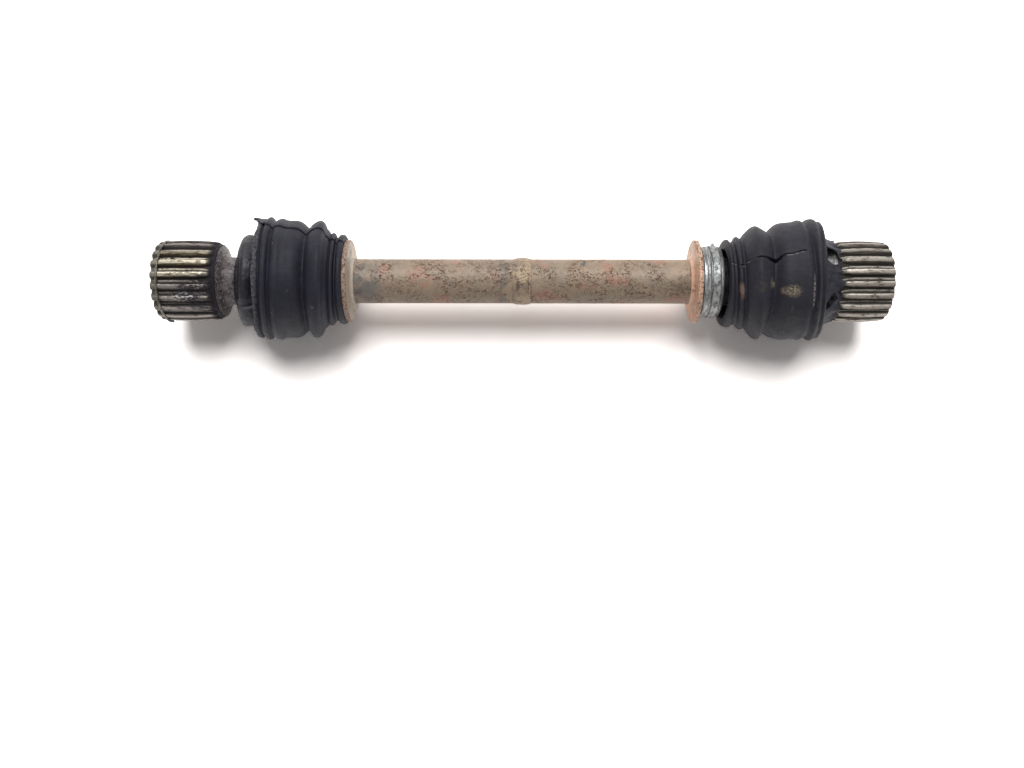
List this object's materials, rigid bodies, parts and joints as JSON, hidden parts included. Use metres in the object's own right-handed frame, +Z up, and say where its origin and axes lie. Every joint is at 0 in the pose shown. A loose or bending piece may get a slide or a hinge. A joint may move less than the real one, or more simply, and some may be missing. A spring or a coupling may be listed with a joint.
{
  "type": "splined drive shaft",
  "caption": "Used drive shaft: a welded steel bar with a flange, collar and crowned splined hub at each end, and torn rubber boots behind the hubs",
  "frame": {"origin": "on the shaft's axis at mid length, in the middle of the weld", "axes": "+X along the shaft towards the right hub, whose boot has slid off its collar; +Z up, away from the ground that the boots' flat spots rest on; +Y away from the picture's viewer"},
  "size_m": [0.578, 0.0971, 0.0958],
  "materials": {
    "left_steel": "bare forged and turned steel with rust stains, and grease on the hub",
    "right_steel": "bare forged and turned steel with rust stains, and a drier, cleaner hub",
    "weld_steel": "weld metal, lightly rusted, with dark lines beside its cap",
    "ring_wire": "oily spring wire",
    "band_steel": "dull plated strip, stained",
    "left_boot_rubber": "worn black rubber with a bluish sheen and a torn, greyed lip",
    "right_boot_rubber": "worn black rubber with a bluish sheen, dirt specks and a crack",
    "left_seal_rubber": "greasy black rubber",
    "right_seal_rubber": "dull black rubber, torn"
  },
  "bodies": {
    "root": {"left_half_shaft": "left_steel", "right_half_shaft": "right_steel", "centre_weld": "weld_steel", "snap_ring": "ring_wire", "clamp_band": "band_steel", "left_boot": "left_boot_rubber", "right_boot": "right_boot_rubber", "left_seal": "left_seal_rubber", "right_seal": "right_seal_rubber"}
  },
  "joints": []
}
